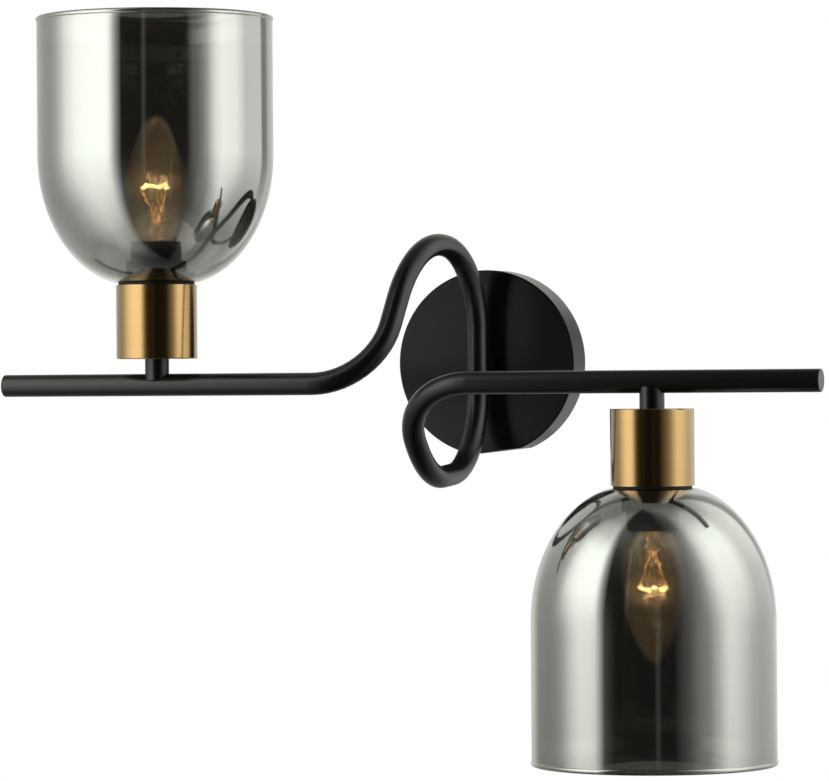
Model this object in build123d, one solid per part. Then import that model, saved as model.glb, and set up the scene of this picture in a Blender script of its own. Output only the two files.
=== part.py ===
from build123d import *
import math
import os

# Wall light with two looped arms: one bent tube carries an upright lamp on the left and a
# hanging lamp on the right. Millimetres. The origin is the centre of the wall plate's back,
# the wall is the plane y = 0, the room lies towards -Y and +Z is up.

os.makedirs("parts", exist_ok=True)

# ---- Wall plate and what it hides ----
PLATE_D = 103.0
PLATE_DEPTH = 20.0
PLATE_WALL = 1.2
PLATE_EDGE_ROUND = 0.9
PLATE_FLAT_WIDTH = 28.0
PLATE_TURN = 6.5
BRACKET_W = 20.0
BRACKET_T = 1.5
BRACKET_BEND_R = 2.0
BRACKET_TAB_DEPTH = 14.0
BRACKET_BOSS_D = 44.0
BRACKET_CABLE_HOLE_D = 16.0
BRACKET_CLEAR = 0.4
WALL_SLOT_SPACING = 70.0
WALL_SLOT_W = 4.5
WALL_SLOT_LENGTH = 10.0
RIM_SCREW_D = 4.0
RIM_SCREW_LENGTH = 6.0
RIM_SCREW_FROM_WALL = 8.0
RIM_SCREW_SOCKET_D = 2.0
RIM_SCREW_SOCKET_DEPTH = 2.0
RIM_SCREW_SUNK = 0.2
HOLE_CLEAR = 0.15

# ---- Bent tube ----
TUBE_D = 12.0
TUBE_WALL = 1.0
ARM_HALF_SPAN = 230.0
ARM_FROM_WALL = 156.0
ARM_DROP = 11.0
REAR_RUN_FROM_PLATE = 14.0
UPPER_REAR_CORNER = 61.0
UPPER_FRONT_CORNER = (-6.4, 114.8, 66.2)
UPPER_ARM_CORNER = -14.4
LOWER_REAR_CORNER = -58.3
LOWER_FRONT_CORNER = (0.8, 114.9, -63.1)
LOWER_ARM_CORNER = -2.5
REAR_BEND_R = 46.0
UPPER_CREST_BEND_R = 56.0
LOWER_CREST_BEND_R = 43.0
ARM_BEND_R = 39.0
TUBE_END_ROUND = 0.5
PLUG_LENGTH = 6.0
PLUG_CROWN = 0.25

# ---- Stem between plate and tube ----
STEM_D = 11.0
NIPPLE_D = 10.0
STEM_BORE = 7.6
NIPPLE_REACH = 8.0
WASHER_T = 0.8
WASHER_D = 16.0
NUT_ACROSS_FLATS = 14.0
NUT_T = 3.0

# ---- Cables inside the tube ----
CABLE_D = 3.0
CABLE_OFFSET = 1.7
CABLE_TURN_R = 4.5
CABLE_SEAT = 2.5

# ---- Terminal block and earth screw ----
BLOCK_H = 15.0
BLOCK_DEPTH = 12.0
BLOCK_POLES = 3
BLOCK_PITCH = 7.0
BLOCK_TOP = -12.5
BLOCK_TOWER_GAP = 1.0
BLOCK_SCREW_D = 3.4
BLOCK_SCREW_T = 1.6
BLOCK_ENTRY_X = 3.5
EARTH_SCREW_D = 4.0
EARTH_HEAD_D = 8.0
EARTH_HEAD_T = 2.4
EARTH_HEAD_ROUND = 0.8
EARTH_SCREW_Z = 17.0

# ---- Lamp: stem, cup and lampholder, measured along the lamp's own axis from the arm ----
LAMP_X = 139.5
LAMP_STEM_D = 13.0
LAMP_STEM_SHOW = 8.0
LAMP_STEM_BORE = 7.0
LAMP_STEM_LAP = 3.4
LAMP_NIPPLE_REACH = 14.5
CUP_D = 43.6
CUP_H = 39.8
CUP_WALL = 1.2
CUP_FLOOR = 1.5
CUP_EDGE_ROUND = 0.6
SEAT_DISC_T = 2.0
SEAT_DISC_CLEAR = 0.05
HOLDER_THREAD_D = 28.0
HOLDER_BASE_D = 31.0
HOLDER_ABOVE_CUP = 23.5
HOLDER_MOUTH_D = 22.0
GASKET_D = 41.0
GASKET_T = 1.5
RING_COLLAR_D = 32.5
RING_FLANGE_D = 42.0
RING_FLANGE_T = 2.0
RING_ABOVE_CUP = 13.0
RING_RUN_CLEAR = 0.08
RING_FLUTES = 24
RING_FLUTE_R = 0.8
WASHER_SHADE_D = 41.0
WASHER_SHADE_T = 0.8
THREAD_CLEAR = 0.5

# ---- Glass shade: a bell whose side is part of an ellipse ----
SHADE_R = 63.5
SHADE_H = 144.5
SHADE_WALL = 2.0
SHADE_BELL_START_R = 12.0
SHADE_BELL_H = 70.0
SHADE_BEAD_R = 1.5
SHADE_BEAD_PROUD = 0.5

# ---- Candle bulb with a small screw cap ----
BULB_D = 35.0
BULB_TIP_ABOVE_CUP = 92.0
BULB_LENGTH = 99.0
BULB_GLASS_WALL = 0.8
BULB_BELLY_ABOVE_CAP = 27.5
BULB_SHOULDER_R = 35.3
BULB_NECK_BEND_R = 5.0
BULB_CONE = 14.3
BULB_NOSE_R = 9.0
CAP_D = 13.9
CAP_H = 17.5
CAP_COLLAR_D = 16.0
CAP_COLLAR_H = 2.5
CAP_WALL = 0.5
CAP_INSULATOR_H = 3.0
CAP_TIP_D = 5.0
CAP_TIP_H = 1.5
CAP_TIP_ROUND = 0.5
SHELL_CLEAR = 0.08
SHELL_WALL = 0.5
SHELL_H = 16.0
TONGUE_W = 5.0
TONGUE_T = 0.5
MOUNT_D = 5.0
MOUNT_H = 22.0
MOUNT_ROUND = 1.6
LEAD_D = 0.8
LEAD_FOOT = 1.2
LEAD_LET_IN = 2.5
LEAD_SPREAD = 6.5
LEAD_RISE = 15.0
FILAMENT_D = 1.0
FILAMENT_RISE = 2.5
FILAMENT_BEND_R = 5.0

# ---- Levels and lines that follow from the sizes above ----
TUBE_R = TUBE_D / 2
TUBE_BORE_R = TUBE_R - TUBE_WALL
PLATE_R = PLATE_D / 2
PLATE_FLAT_AT = math.sqrt(PLATE_R ** 2 - (PLATE_FLAT_WIDTH / 2) ** 2)
REAR_FROM_WALL = PLATE_DEPTH + REAR_RUN_FROM_PLATE
CUP_BASE = TUBE_R + LAMP_STEM_SHOW
CUP_FACE = CUP_BASE + CUP_H
NUT_BASE = CUP_BASE + CUP_FLOOR + WASHER_T
HOLDER_BASE = NUT_BASE + NUT_T
HOLDER_SHOULDER = CUP_FACE - SEAT_DISC_T
HOLDER_TOP = CUP_FACE + HOLDER_ABOVE_CUP
SHADE_SEAT = CUP_FACE + GASKET_T
WASHER_SHADE_BASE = SHADE_SEAT + SHADE_WALL
RING_BASE = WASHER_SHADE_BASE + WASHER_SHADE_T
RING_TOP = CUP_FACE + RING_ABOVE_CUP
SHADE_RIM = CUP_FACE + SHADE_H
BULB_TIP = CUP_FACE + BULB_TIP_ABOVE_CUP
BULB_BASE = BULB_TIP - BULB_LENGTH
CAP_BASE = BULB_BASE + CAP_TIP_H + CAP_INSULATOR_H
CAP_TOP = CAP_BASE + CAP_H + CAP_COLLAR_H
SHELL_R = CAP_D / 2 + SHELL_CLEAR
SHELL_TOP = CAP_BASE + SHELL_H
NIPPLE_TOP = CUP_BASE + LAMP_NIPPLE_REACH
LOWEST = (Align.CENTER, Align.CENTER, Align.MIN)
THROUGH = 4  # a cutter this many times as long as its wall is thick goes right through it


def save(name, shape):
    shape.label = name
    export_step(shape, f"parts/{name}.step")


def off_wall(shape):
    """Turn a shape drawn flat on the wall plane, with z as depth, to stand off the wall."""
    return Rot(90, 0, 0) * shape


def post(radius, start, end):
    """A round post along z from start to end."""
    return Pos(0, 0, start) * Cylinder(radius, end - start, align=LOWEST)


def pipe(outer, inner, start, end):
    """A round post with a bore right through it."""
    return post(outer, start, end) - post(inner, start, end)


def turned(*edges):
    """A solid turned about z from a closed outline of radius and height."""
    return revolve(Plane.XZ * make_face(Curve() + list(edges)), Axis.Z)


def hexagon_nut(bore, start, thickness):
    body = extrude(RegularPolygon(NUT_ACROSS_FLATS / 2, 6, major_radius=False), thickness)
    return Pos(0, 0, start) * body - post(bore, start, start + thickness)


# ---- Wall plate ----
def plate_outline(inset):
    """The plate's round outline with its short flat, turned a few degrees from the bottom."""
    disc = Circle(PLATE_R - inset)
    height = PLATE_R + PLATE_FLAT_AT - inset
    above_flat = Pos(0, height / 2 - PLATE_FLAT_AT + inset) * Rectangle(PLATE_D, height)
    return Rot(0, 0, PLATE_TURN) * (disc & above_flat)


def rim_screw_line(reach):
    """Places of the two rim screws: one in the flat and one opposite, reach from the axis."""
    places = []
    for end, distance in ((-1, reach[0]), (1, reach[1])):
        spot = Rot(0, 0, PLATE_TURN) * Pos(0, end * distance, RIM_SCREW_FROM_WALL)
        places.append(spot * Rot(-90 * end, 0, 0))
    return places


def wall_plate():
    body = extrude(plate_outline(0), PLATE_DEPTH)
    front = body.faces().sort_by(Axis.Z)[-1]
    body = fillet(front.edges(), PLATE_EDGE_ROUND)
    body -= extrude(plate_outline(PLATE_WALL), PLATE_DEPTH - PLATE_WALL)
    body -= Cylinder(NIPPLE_D / 2 + HOLE_CLEAR, PLATE_DEPTH, align=LOWEST)
    for spot in rim_screw_line((PLATE_FLAT_AT, PLATE_R)):
        body -= spot * Cylinder(RIM_SCREW_D / 2 + HOLE_CLEAR, THROUGH * PLATE_WALL)
    return off_wall(body)


def bracket_reach():
    """How far the bracket's lower and upper tabs stand from the axis, clear of the rim."""
    half = BRACKET_W / 2
    turn = math.radians(PLATE_TURN)
    lower = (PLATE_FLAT_AT - PLATE_WALL) / math.cos(turn) - math.tan(turn) * half
    upper = math.sqrt((PLATE_R - PLATE_WALL) ** 2 - half ** 2)
    return lower - BRACKET_CLEAR, upper - BRACKET_CLEAR


def mounting_bracket():
    low, high = bracket_reach()
    outer = Pos((high - low) / 2, BRACKET_TAB_DEPTH / 2) * Rectangle(high + low, BRACKET_TAB_DEPTH)
    corners = outer.vertices().group_by(Axis.Y)[0]
    outer = fillet(corners, BRACKET_BEND_R)
    inner_h = BRACKET_TAB_DEPTH - BRACKET_T
    inner = Pos((high - low) / 2, BRACKET_T + inner_h / 2) * Rectangle(high + low - 2 * BRACKET_T, inner_h)
    inner = fillet(inner.vertices().group_by(Axis.Y)[0], BRACKET_BEND_R - BRACKET_T)
    strap = extrude(Plane.YZ * (outer - inner), BRACKET_W / 2, both=True)
    strap += Cylinder(BRACKET_BOSS_D / 2, BRACKET_T, align=LOWEST)
    strap -= Cylinder(BRACKET_CABLE_HOLE_D / 2, BRACKET_T, align=LOWEST)
    slot = extrude(Rot(0, 0, 90) * SlotOverall(WALL_SLOT_LENGTH, WALL_SLOT_W), BRACKET_T)
    for end in (-1, 1):
        strap -= Pos(0, end * WALL_SLOT_SPACING / 2) * slot
    strap -= Pos(0, EARTH_SCREW_Z) * Cylinder(EARTH_SCREW_D / 2, BRACKET_T, align=LOWEST)
    for spot in rim_screw_line((low, high)):
        strap -= spot * Cylinder(RIM_SCREW_D / 2, THROUGH * BRACKET_T)
    return off_wall(strap)


def rim_lock_screws():
    screws = []
    for spot in rim_screw_line((PLATE_FLAT_AT - RIM_SCREW_SUNK, PLATE_R - RIM_SCREW_SUNK)):
        body = Cylinder(RIM_SCREW_D / 2, RIM_SCREW_LENGTH, align=(Align.CENTER, Align.CENTER, Align.MAX))
        socket = extrude(RegularPolygon(RIM_SCREW_SOCKET_D / 2, 6), -RIM_SCREW_SOCKET_DEPTH)
        screws.append(off_wall(spot * (body - socket)))
    return Compound(children=screws)


# ---- Stem, washer and nut behind the tube ----
def plate_stem():
    stem = post(STEM_D / 2, PLATE_DEPTH, REAR_FROM_WALL)
    stem += post(NIPPLE_D / 2, PLATE_DEPTH - NIPPLE_REACH, PLATE_DEPTH)
    stem -= post(STEM_BORE / 2, PLATE_DEPTH - NIPPLE_REACH, REAR_FROM_WALL)
    stem -= Pos(0, 0, REAR_FROM_WALL) * Rot(90, 0, 0) * Cylinder(TUBE_R, THROUGH * STEM_D)
    return off_wall(stem)


def stem_washer():
    inner_face = PLATE_DEPTH - PLATE_WALL
    return off_wall(pipe(WASHER_D / 2, NIPPLE_D / 2, inner_face - WASHER_T, inner_face))


def stem_nut():
    start = PLATE_DEPTH - PLATE_WALL - WASHER_T - NUT_T
    return off_wall(hexagon_nut(NIPPLE_D / 2, start, NUT_T))


# ---- Bent tube ----
def loop_points(side):
    """Corner points of one loop, from the rear run out to its arm."""
    rear = {-1: UPPER_REAR_CORNER, 1: LOWER_REAR_CORNER}[side]
    front = {-1: UPPER_FRONT_CORNER, 1: LOWER_FRONT_CORNER}[side]
    arm = {-1: UPPER_ARM_CORNER, 1: LOWER_ARM_CORNER}[side]
    return [(0, -REAR_FROM_WALL, rear), (front[0], -front[1], front[2]), (arm, -ARM_FROM_WALL, -ARM_DROP)]


def loop_radii(side):
    crest = {-1: UPPER_CREST_BEND_R, 1: LOWER_CREST_BEND_R}[side]
    return [REAR_BEND_R, crest, ARM_BEND_R]


def arm_end(side):
    return (side * ARM_HALF_SPAN, -ARM_FROM_WALL, -ARM_DROP)


def swept(section, path):
    start = Plane(origin=path @ 0, z_dir=path % 0)
    return sweep(start * section, path=path)


def arm_tube():
    points = [arm_end(-1)] + loop_points(-1)[::-1] + loop_points(1) + [arm_end(1)]
    radii = loop_radii(-1)[::-1] + loop_radii(1)
    path = FilletPolyline(*points, radius=radii)
    tube = swept(Circle(TUBE_R) - Circle(TUBE_BORE_R), path)
    ends = tube.edges().filter_by(GeomType.CIRCLE).sort_by(Axis.X)
    rims = [edge for edge in ends if abs(edge.radius - TUBE_R) < TUBE_END_ROUND]
    tube = fillet([rims[0], rims[-1]], TUBE_END_ROUND)
    tube -= off_wall(post(STEM_BORE / 2, PLATE_DEPTH, REAR_FROM_WALL))
    for side in (-1, 1):
        tube -= lamp_place(side) * post(LAMP_STEM_BORE / 2, 0, TUBE_D)
    print("tube length", round(path.length, 1), "volume ratio",
          round(tube.volume / (math.pi * (TUBE_R ** 2 - TUBE_BORE_R ** 2) * path.length), 4))
    return tube


def end_plug(side):
    plug = post(TUBE_BORE_R, -PLUG_LENGTH, 0)
    plug = fillet(plug.edges().group_by(Axis.Z)[-1], PLUG_CROWN)
    return Pos(arm_end(side)) * Rot(0, 90 * side, 0) * plug


def cable(side):
    """One lamp's cable, whole: terminal block, stem, loop, arm and lamp stem."""
    entry_depth = BRACKET_T + BLOCK_DEPTH / 2
    entry_x = side * BLOCK_ENTRY_X
    offset = side * CABLE_OFFSET
    bend_at = BLOCK_TOP + CABLE_SEAT
    points = [(entry_x, -entry_depth, BLOCK_TOP - CABLE_SEAT), (entry_x, -entry_depth, bend_at)]
    points += [(offset, -entry_depth, 0), (offset, -REAR_FROM_WALL, 0)]
    points += loop_points(side)
    points += [(side * LAMP_X, -ARM_FROM_WALL, -ARM_DROP)]
    points += [(side * LAMP_X, -ARM_FROM_WALL, -ARM_DROP - side * (NIPPLE_TOP + CABLE_SEAT))]
    radii = [CABLE_TURN_R] * 3 + loop_radii(side) + [CABLE_TURN_R]
    path = FilletPolyline(*points, radius=radii)
    body = swept(Circle(CABLE_D / 2), path)
    print("cable", side, "length", round(path.length, 1), "volume ratio",
          round(body.volume / (math.pi * (CABLE_D / 2) ** 2 * path.length), 4))
    return body


# ---- Terminal block and earth screw ----
def pole_places():
    middle = (BLOCK_POLES - 1) / 2
    return [(index - middle) * BLOCK_PITCH for index in range(BLOCK_POLES)]


def terminal_block():
    width = BLOCK_POLES * BLOCK_PITCH
    centre = BLOCK_TOP - BLOCK_H / 2
    foot_t = BLOCK_DEPTH / 2 + CABLE_D
    body = Pos(0, centre, BRACKET_T) * Box(width, BLOCK_H, foot_t, align=LOWEST)
    for x in pole_places():
        tower_r = (BLOCK_PITCH - BLOCK_TOWER_GAP) / 2
        body += Pos(x, centre, BRACKET_T) * Cylinder(tower_r, BLOCK_DEPTH, align=LOWEST)
        body -= Pos(x, centre, BRACKET_T + foot_t) * Cylinder(BLOCK_SCREW_D / 2, BLOCK_DEPTH, align=LOWEST)
    for side in (-1, 1):
        seat = Pos(side * BLOCK_ENTRY_X, BLOCK_TOP, BRACKET_T + BLOCK_DEPTH / 2) * Rot(90, 0, 0)
        body -= seat * Cylinder(CABLE_D / 2, CABLE_SEAT, align=LOWEST)
    return off_wall(body)


def terminal_screws():
    screws = []
    centre = BLOCK_TOP - BLOCK_H / 2
    floor = BRACKET_T + BLOCK_DEPTH / 2 + CABLE_D
    for x in pole_places():
        screw = Pos(x, centre, floor) * Cylinder(BLOCK_SCREW_D / 2, BLOCK_SCREW_T, align=LOWEST)
        screws.append(off_wall(screw))
    return Compound(children=screws)


def earth_screw():
    screw = Pos(0, EARTH_SCREW_Z, BRACKET_T) * Cylinder(EARTH_HEAD_D / 2, EARTH_HEAD_T, align=LOWEST)
    screw = fillet(screw.edges().group_by(Axis.Z)[-1], EARTH_HEAD_ROUND)
    screw += Pos(0, EARTH_SCREW_Z) * Cylinder(EARTH_SCREW_D / 2, BRACKET_T, align=LOWEST)
    return off_wall(screw)


# ---- Lamps: every piece is drawn upright with the arm's axis at z = 0 ----
def lamp_place(side):
    """Left lamp upright, right lamp turned over to hang."""
    return Pos(side * LAMP_X, -ARM_FROM_WALL, -ARM_DROP) * Rot(0, 90 + 90 * side, 0)


def lamp_stem():
    stem = post(LAMP_STEM_D / 2, TUBE_R - LAMP_STEM_LAP, CUP_BASE)
    stem += post(NIPPLE_D / 2, CUP_BASE, NIPPLE_TOP)
    stem -= post(LAMP_STEM_BORE / 2, 0, NIPPLE_TOP)
    return stem - Rot(0, 90, 0) * Cylinder(TUBE_R, THROUGH * LAMP_STEM_D)


def lamp_cup():
    cup = post(CUP_D / 2, CUP_BASE, CUP_FACE)
    cup = fillet(cup.edges().group_by(Axis.Z)[0], CUP_EDGE_ROUND)
    cup -= post(CUP_D / 2 - CUP_WALL, CUP_BASE + CUP_FLOOR, CUP_FACE)
    return cup - post(NIPPLE_D / 2, CUP_BASE, CUP_FACE)


def lamp_washer():
    return pipe(WASHER_D / 2, NIPPLE_D / 2, CUP_BASE + CUP_FLOOR, NUT_BASE)


def lamp_nut():
    return hexagon_nut(NIPPLE_D / 2, NUT_BASE, NUT_T)


def holder_body():
    """Lampholder: a base with a shoulder, and a threaded skirt with a wide mouth."""
    tongue_floor = BULB_BASE - TONGUE_T - TONGUE_W / 2
    body = post(HOLDER_BASE_D / 2, HOLDER_BASE, HOLDER_SHOULDER)
    body += post(HOLDER_THREAD_D / 2, HOLDER_SHOULDER, HOLDER_TOP)
    body -= post(HOLDER_MOUTH_D / 2, SHELL_TOP, HOLDER_TOP)
    body -= post(SHELL_R + SHELL_WALL, BULB_BASE - TONGUE_T, SHELL_TOP)
    body -= post(TONGUE_W / 2 + TONGUE_T, tongue_floor, BULB_BASE)
    body -= post(NIPPLE_D / 2, HOLDER_BASE, NIPPLE_TOP)
    return body - post(CABLE_D / 2, HOLDER_BASE, NIPPLE_TOP + CABLE_SEAT)


def holder_shell():
    return pipe(SHELL_R + SHELL_WALL, SHELL_R, CAP_BASE, SHELL_TOP)


def holder_tongue():
    """Springy centre contact: a flat tab under the bulb's tip on a small bridge."""
    reach = SHELL_R + SHELL_WALL
    tab = Pos(0, 0, BULB_BASE - TONGUE_T) * Box(2 * reach, TONGUE_W, TONGUE_T, align=LOWEST)
    return tab & post(reach, BULB_BASE - TONGUE_T, BULB_BASE)


def seat_disc():
    outer = CUP_D / 2 - CUP_WALL
    return pipe(outer, HOLDER_THREAD_D / 2 + SEAT_DISC_CLEAR, HOLDER_SHOULDER, CUP_FACE)


def shade_gasket():
    return pipe(GASKET_D / 2, HOLDER_THREAD_D / 2 + THREAD_CLEAR, CUP_FACE, SHADE_SEAT)


def shade_washer():
    return pipe(WASHER_SHADE_D / 2, HOLDER_THREAD_D / 2 + THREAD_CLEAR, WASHER_SHADE_BASE, RING_BASE)


def shade_ring():
    """Clamping ring: a flange that presses on the glass and a fluted collar to turn it by."""
    flange_top = RING_BASE + RING_FLANGE_T
    ring = post(RING_COLLAR_D / 2, RING_BASE, RING_TOP)
    for flute in range(RING_FLUTES):
        turn = Rot(0, 0, flute * 360 / RING_FLUTES)
        ring -= turn * Pos(RING_COLLAR_D / 2, 0, 0) * post(RING_FLUTE_R, flange_top, RING_TOP)
    ring += post(RING_FLANGE_D / 2, RING_BASE, flange_top)
    return ring - post(HOLDER_THREAD_D / 2 + RING_RUN_CLEAR, RING_BASE, RING_TOP)


def bell(inset):
    """The bell filled solid: a flat neck, an elliptic side and a straight skirt."""
    centre_h = SHADE_SEAT + SHADE_BELL_H - GASKET_T
    rise = SHADE_BELL_H - inset
    spread = SHADE_R - SHADE_BELL_START_R - inset
    base = SHADE_SEAT + inset
    start = -math.degrees(math.asin((centre_h - base) / rise))
    side = EllipticalCenterArc((SHADE_BELL_START_R, centre_h), spread, rise, start, arc_size=-start)
    top_side = Line(side @ 1, ((side @ 1).X, SHADE_RIM))
    top = Line(top_side @ 1, (0, SHADE_RIM))
    axis = Line(top @ 1, (0, base))
    neck = Line(axis @ 1, side @ 0)
    return turned(side, top_side, top, axis, neck)


def glass_shade():
    shade = bell(0) - bell(SHADE_WALL)
    bead_r = SHADE_R + SHADE_BEAD_PROUD - SHADE_BEAD_R
    shade += Pos(0, 0, SHADE_RIM - SHADE_BEAD_R) * Torus(bead_r, SHADE_BEAD_R)
    return shade - post(HOLDER_THREAD_D / 2 + THREAD_CLEAR, SHADE_SEAT, WASHER_SHADE_BASE)


# ---- Bulb ----
def bulb_outline(inset):
    """Candle outline filled solid: neck, arched shoulder, round belly, straight cone, round nose."""
    neck_r = CAP_D / 2 - CAP_WALL - inset
    base = CAP_TOP - CAP_COLLAR_H
    belly = CAP_TOP + BULB_BELLY_ABOVE_CAP
    belly_r = BULB_D / 2 - inset
    shoulder_r = BULB_SHOULDER_R - inset
    nose_r = BULB_NOSE_R - inset
    nose_centre = BULB_TIP - BULB_NOSE_R
    cone = math.radians(BULB_CONE)
    nose_at = (nose_r * math.cos(cone), nose_centre + nose_r * math.sin(cone))
    narrowing = math.tan(cone) * (nose_at[1] - belly) - (belly_r - nose_at[0])
    belly_bend_r = narrowing * math.cos(cone) / (1 - math.cos(cone))
    shoulder_turn = math.degrees(math.acos((shoulder_r - belly_r + neck_r) / shoulder_r))
    shoulder = CenterArc((belly_r - shoulder_r, belly), shoulder_r, -shoulder_turn, shoulder_turn)
    side = CenterArc((belly_r - belly_bend_r, belly), belly_bend_r, 0, BULB_CONE)
    nose = CenterArc((0, nose_centre), nose_r, BULB_CONE, 90 - BULB_CONE)
    edges = [Line((0, base), (neck_r, base)), Line((neck_r, base), shoulder @ 0), shoulder, side]
    edges += [Line(side @ 1, nose @ 0), nose, Line(nose @ 1, (0, base))]
    face = make_face(Curve() + edges)
    bend = face.vertices().sort_by_distance((neck_r, (shoulder @ 0).Y))[0]
    return revolve(Plane.XZ * fillet(bend, BULB_NECK_BEND_R + inset), Axis.Z)


def bulb_glass():
    return bulb_outline(0) - bulb_outline(BULB_GLASS_WALL)


def bulb_cap():
    neck_r = CAP_D / 2 - CAP_WALL
    cap = post(CAP_D / 2, CAP_BASE, CAP_TOP - CAP_COLLAR_H)
    cap += post(CAP_COLLAR_D / 2, CAP_TOP - CAP_COLLAR_H, CAP_TOP)
    cap -= post(neck_r, CAP_TOP - CAP_COLLAR_H, CAP_TOP)
    return cap - post(MOUNT_D / 2, CAP_TOP - CAP_COLLAR_H - CAP_WALL, CAP_TOP)


def bulb_insulator():
    cone = Cone(CAP_TIP_D / 2, CAP_D / 2 - CAP_WALL, CAP_INSULATOR_H, align=LOWEST)
    return Pos(0, 0, BULB_BASE + CAP_TIP_H) * cone


def bulb_contact():
    tip = post(CAP_TIP_D / 2, BULB_BASE, BULB_BASE + CAP_TIP_H)
    return fillet(tip.edges().group_by(Axis.Z)[0], CAP_TIP_ROUND)


def bulb_mount():
    """Glass stem that seals the leads, with a rounded button at its head."""
    base = CAP_TOP - CAP_COLLAR_H - CAP_WALL
    stem = post(MOUNT_D / 2, base, base + MOUNT_H)
    return fillet(stem.edges().group_by(Axis.Z)[-1], MOUNT_ROUND)


def lead_top():
    return CAP_TOP - CAP_COLLAR_H - CAP_WALL + MOUNT_H + LEAD_RISE


def bulb_leads():
    leads = []
    head = lead_top() - LEAD_RISE
    for side in (-1, 1):
        foot = (side * LEAD_FOOT, 0, head - LEAD_LET_IN)
        knee = (side * LEAD_FOOT, 0, head + LEAD_LET_IN)
        path = Polyline(foot, knee, (side * LEAD_SPREAD, 0, lead_top()))
        leads.append(swept(Circle(LEAD_D / 2), path))
    return leads


def bulb_support():
    """The two lead wires, let into the glass stem."""
    return Compound(children=[lead - bulb_mount() for lead in bulb_leads()])


def bulb_filament():
    top = lead_top() + FILAMENT_D / 2
    reach = LEAD_SPREAD + LEAD_D
    ends = [(-reach, 0, top), (0, 0, top + FILAMENT_RISE), (reach, 0, top)]
    coil = swept(Circle(FILAMENT_D / 2), FilletPolyline(*ends, radius=FILAMENT_BEND_R))
    for lead in bulb_leads():
        coil -= lead
    return coil


LAMP_PIECES = {
    "lamp_stem": lamp_stem,
    "lamp_cup": lamp_cup,
    "lamp_washer": lamp_washer,
    "lamp_nut": lamp_nut,
    "holder_body": holder_body,
    "holder_shell": holder_shell,
    "holder_tongue": holder_tongue,
    "seat_disc": seat_disc,
    "shade_gasket": shade_gasket,
    "glass_shade": glass_shade,
    "shade_washer": shade_washer,
    "shade_ring": shade_ring,
    "bulb_glass": bulb_glass,
    "bulb_cap": bulb_cap,
    "bulb_insulator": bulb_insulator,
    "bulb_contact": bulb_contact,
    "bulb_mount": bulb_mount,
    "bulb_support": bulb_support,
    "bulb_filament": bulb_filament,
}
WALL_PIECES = {
    "wall_plate": wall_plate,
    "mounting_bracket": mounting_bracket,
    "rim_lock_screws": rim_lock_screws,
    "plate_stem": plate_stem,
    "stem_washer": stem_washer,
    "stem_nut": stem_nut,
    "terminal_block": terminal_block,
    "terminal_screws": terminal_screws,
    "earth_screw": earth_screw,
    "arm_tube": arm_tube,
}
SIDES = {"upper": -1, "lower": 1}

for piece, build in WALL_PIECES.items():
    save(piece, build())
for where, side in SIDES.items():
    save(f"end_plug_{where}", end_plug(side))
    save(f"cable_{where}", cable(side))
for piece, build in LAMP_PIECES.items():
    shape = build()
    for where, side in SIDES.items():
        save(f"{piece}_{where}", lamp_place(side) * shape)
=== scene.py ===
"""Looks for a wall light with two looped arms: finishes, threads, glass, lit bulbs and a studio."""

import math

import bpy
from bpy.props import FloatProperty, FloatVectorProperty, IntProperty, PointerProperty, StringProperty
from bpy.types import Operator, Panel, PropertyGroup
from mathutils import Matrix, Vector


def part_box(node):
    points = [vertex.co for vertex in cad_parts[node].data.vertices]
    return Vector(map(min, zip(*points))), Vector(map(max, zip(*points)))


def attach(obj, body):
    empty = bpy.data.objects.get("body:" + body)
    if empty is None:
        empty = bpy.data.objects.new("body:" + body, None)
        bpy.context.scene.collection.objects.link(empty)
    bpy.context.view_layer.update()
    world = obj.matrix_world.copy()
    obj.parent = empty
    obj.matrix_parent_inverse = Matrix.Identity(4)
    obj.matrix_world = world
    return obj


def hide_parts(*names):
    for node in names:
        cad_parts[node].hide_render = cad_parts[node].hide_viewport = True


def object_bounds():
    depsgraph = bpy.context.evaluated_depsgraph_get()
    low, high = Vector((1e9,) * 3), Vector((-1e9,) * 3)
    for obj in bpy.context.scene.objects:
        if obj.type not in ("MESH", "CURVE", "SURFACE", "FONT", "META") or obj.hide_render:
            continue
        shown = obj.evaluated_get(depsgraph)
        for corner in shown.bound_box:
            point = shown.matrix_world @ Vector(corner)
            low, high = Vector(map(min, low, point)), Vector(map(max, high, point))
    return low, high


bl_info = {
    "name": "Two-lamp wall light",
    "version": (1, 0, 0),
    "blender": (4, 5, 0),
    "location": "View3D > Sidebar > Wall light",
    "description": "Dresses the frame of a wall light and sets up its studio",
    "category": "Object",
}

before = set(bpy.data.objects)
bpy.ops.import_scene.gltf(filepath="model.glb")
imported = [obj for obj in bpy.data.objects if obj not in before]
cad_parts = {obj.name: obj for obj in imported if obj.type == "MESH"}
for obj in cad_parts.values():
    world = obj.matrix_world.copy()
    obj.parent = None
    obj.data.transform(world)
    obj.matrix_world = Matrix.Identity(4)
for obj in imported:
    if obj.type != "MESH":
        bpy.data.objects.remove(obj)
CAD_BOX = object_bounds()
MM = 0.001
SIDES = {"upper": 1, "lower": -1}
PHOTO_WIDTH = 829

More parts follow.
